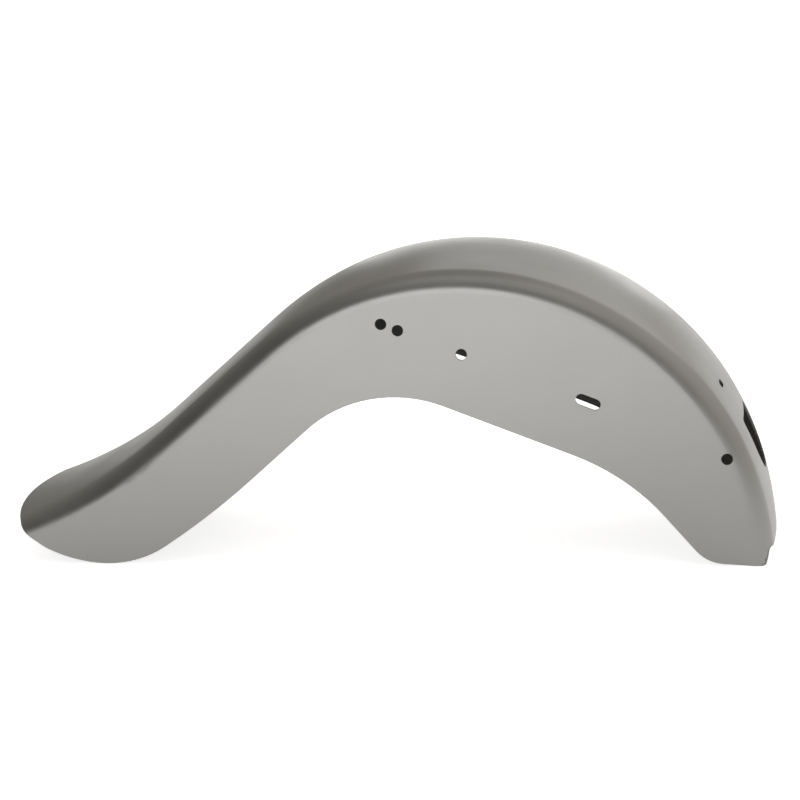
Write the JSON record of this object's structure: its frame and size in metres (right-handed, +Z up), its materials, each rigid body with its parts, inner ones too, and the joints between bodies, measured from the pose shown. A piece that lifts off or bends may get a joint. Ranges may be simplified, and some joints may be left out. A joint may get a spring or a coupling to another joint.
{
  "type": "motorcycle rear fender",
  "caption": "Pressed sheet steel rear fender with a rounded crown, deep side panels with strut bolt holes and a slot, and a tail opening for a lamp.",
  "frame": {"origin": "middle of the fender's length and width, on the floor it rests on", "axes": "+X from the front end to the tail, +Y across the width, +Z up; the fender rests on its two front lobes and its two tail ears"},
  "size_m": [0.8988, 0.22, 0.347],
  "materials": {
    "bare_steel": "satin bare sheet steel, unpainted"
  },
  "bodies": {
    "root": {"fender_shell": "bare_steel"}
  },
  "joints": []
}
